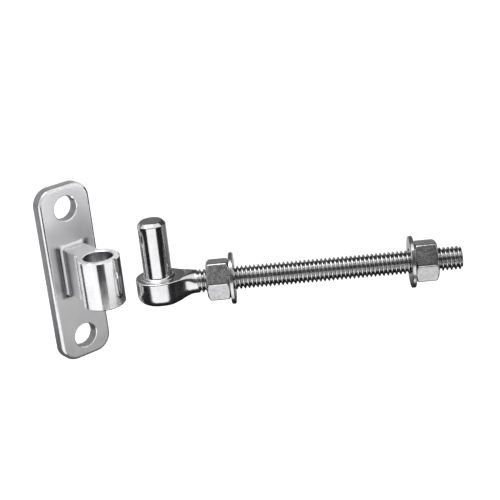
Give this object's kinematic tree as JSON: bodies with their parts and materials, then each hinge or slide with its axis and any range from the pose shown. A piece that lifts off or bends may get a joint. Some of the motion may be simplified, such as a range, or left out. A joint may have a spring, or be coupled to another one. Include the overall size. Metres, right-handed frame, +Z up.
{
  "type": "j-bolt gate hinge",
  "caption": "Adjustable gate hinge: a hook bolt with an upright pin, clamped through a post by nuts and washers, and a flanged barrel bracket that drops over the pin.",
  "frame": {"origin": "on the pin's axis at the foot of its straight wall, 4.1 mm above the rod's axis", "axes": "+Z up the pin and the barrel's bore, +X along the threaded rod away from the pin"},
  "size_m": [0.1417, 0.0311, 0.0636],
  "materials": {
    "forging": "bright zinc plate on forged steel",
    "casting": "bright zinc plate, polished barrel and satin plate",
    "fasteners": "bright zinc plate with rolled and stamped marks"
  },
  "bodies": {
    "bolt": {"hook_bolt": "forging"},
    "bracket": {"gate_bracket": "casting"},
    "inner_washer": {"inner_washer": "fasteners"},
    "inner_nut": {"inner_nut": "fasteners"},
    "outer_washer": {"outer_washer": "fasteners"},
    "outer_nut": {"outer_nut": "fasteners"}
  },
  "joints": [
    {"name": "bracket_swing", "type": "hinge", "parent": "bolt", "child": "bracket", "pos_m": [-0.0192, 0, -0.0041], "axis": [0, 0, 1], "range_deg": [-70, 171]},
    {"name": "inner_washer_slide", "type": "slide", "parent": "bolt", "child": "inner_washer", "axis": [1, 0, 0], "range_m": [-0.00353, 0.02823]},
    {"name": "inner_nut_turn", "type": "hinge", "parent": "inner_washer", "child": "inner_nut", "pos_m": [0.0201, 0, -0.0041], "axis": [1, 0, 0], "range_deg": [-900, 7200]},
    {"name": "outer_washer_slide", "type": "slide", "parent": "bolt", "child": "outer_washer", "axis": [1, 0, 0], "range_m": [-0.02823, 0.00777]},
    {"name": "outer_nut_turn", "type": "hinge", "parent": "outer_washer", "child": "outer_nut", "pos_m": [0.0895, 0, -0.0041], "axis": [1, 0, 0], "range_deg": [-7200, 1980]}
  ],
  "couplings": [
    {"joint": "inner_washer_slide", "follows": "inner_nut_turn", "m_per_rad": 0.00022459},
    {"joint": "outer_washer_slide", "follows": "outer_nut_turn", "m_per_rad": 0.00022459}
  ]
}
